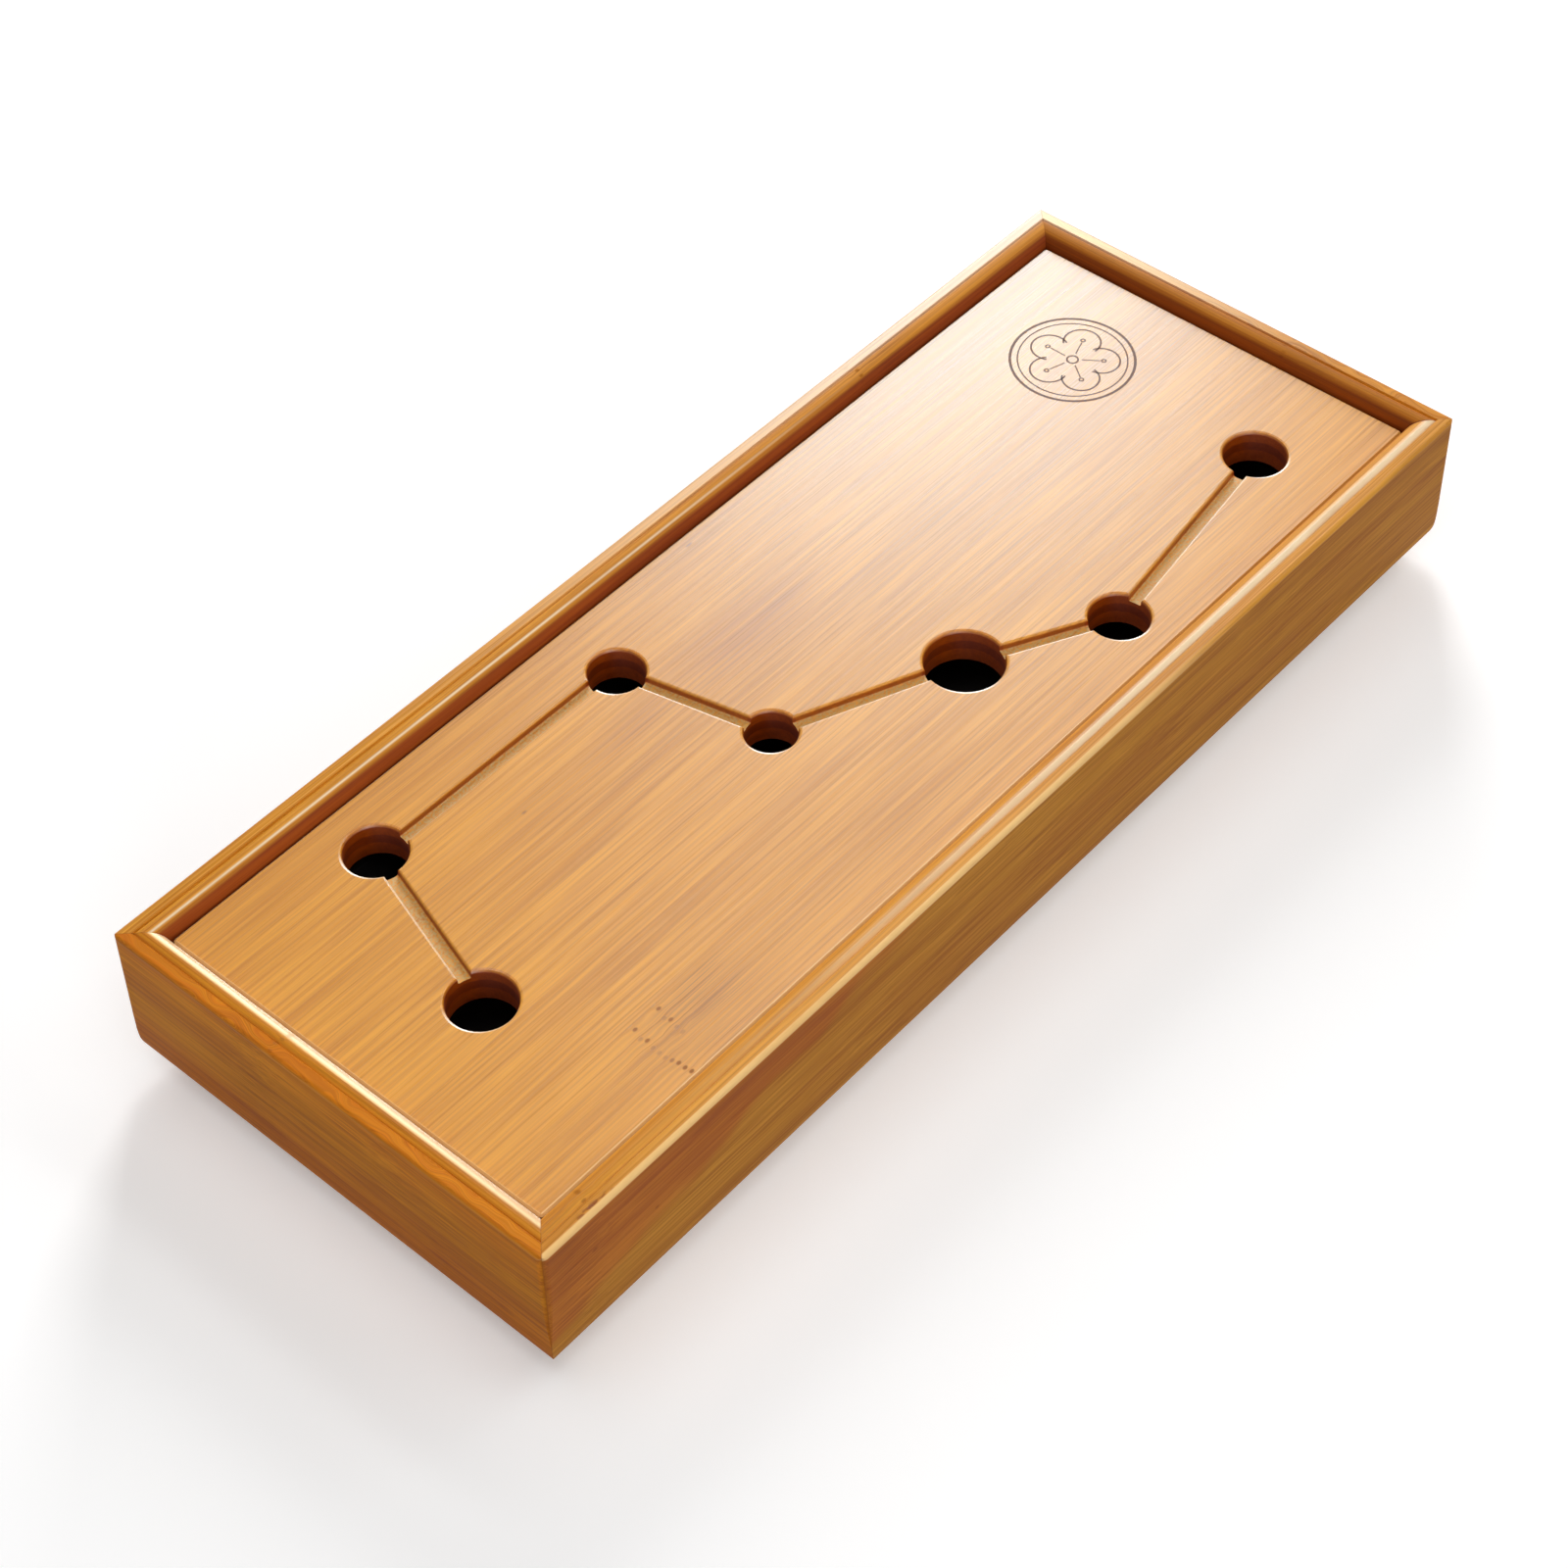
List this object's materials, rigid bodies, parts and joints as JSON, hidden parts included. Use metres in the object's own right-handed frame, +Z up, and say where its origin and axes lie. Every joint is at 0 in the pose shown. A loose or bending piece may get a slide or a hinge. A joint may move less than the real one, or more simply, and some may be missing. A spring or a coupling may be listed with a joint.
{
  "type": "gongfu tea tray",
  "caption": "Rectangular bamboo tea tray: mitred frame with a beaded rim, lift-out drain board with round holes joined by grooves, and a black drip tray beneath.",
  "frame": {"origin": "on the table, under the middle of the tray", "axes": "+X along the tray, +Y towards its back, +Z up"},
  "size_m": [0.38, 0.151, 0.053],
  "materials": {
    "frame_bamboo": "satin varnish",
    "board_bamboo": "satin varnish",
    "inner_bamboo": "sanded",
    "panel_bamboo": "sanded",
    "tray_plastic": "fine matte moulding",
    "foot_rubber": "matte",
    "screw_steel": "zinc plated"
  },
  "bodies": {
    "frame": {"front_frame_board": "frame_bamboo", "back_frame_board": "frame_bamboo", "left_frame_board": "frame_bamboo", "right_frame_board": "frame_bamboo", "bottom_panel": "panel_bamboo", "mitre_spline_front_left": "inner_bamboo", "mitre_spline_front_right": "inner_bamboo", "mitre_spline_back_left": "inner_bamboo", "mitre_spline_back_right": "inner_bamboo", "corner_block_front_left": "inner_bamboo", "corner_block_front_right": "inner_bamboo", "corner_block_back_left": "inner_bamboo", "corner_block_back_right": "inner_bamboo", "rubber_foot_front_left": "foot_rubber", "rubber_foot_front_right": "foot_rubber", "rubber_foot_back_left": "foot_rubber", "rubber_foot_back_right": "foot_rubber", "foot_screws": "screw_steel"},
    "drain_board": {"drain_board": "board_bamboo", "board_batten_left": "inner_bamboo", "board_batten_right": "inner_bamboo", "batten_screws": "screw_steel"},
    "drip_tray": {"drip_tray": "tray_plastic"}
  },
  "joints": [
    {"name": "board_lift", "type": "slide", "parent": "frame", "child": "drain_board", "axis": [0, 0, 1], "range_m": [0, 0.1]},
    {"name": "tray_lift", "type": "slide", "parent": "frame", "child": "drip_tray", "axis": [0, 0, 1], "range_m": [0, 0.05]}
  ],
  "couplings": [
    {"joint": "tray_lift", "follows": "board_lift", "ratio": 0.5}
  ]
}
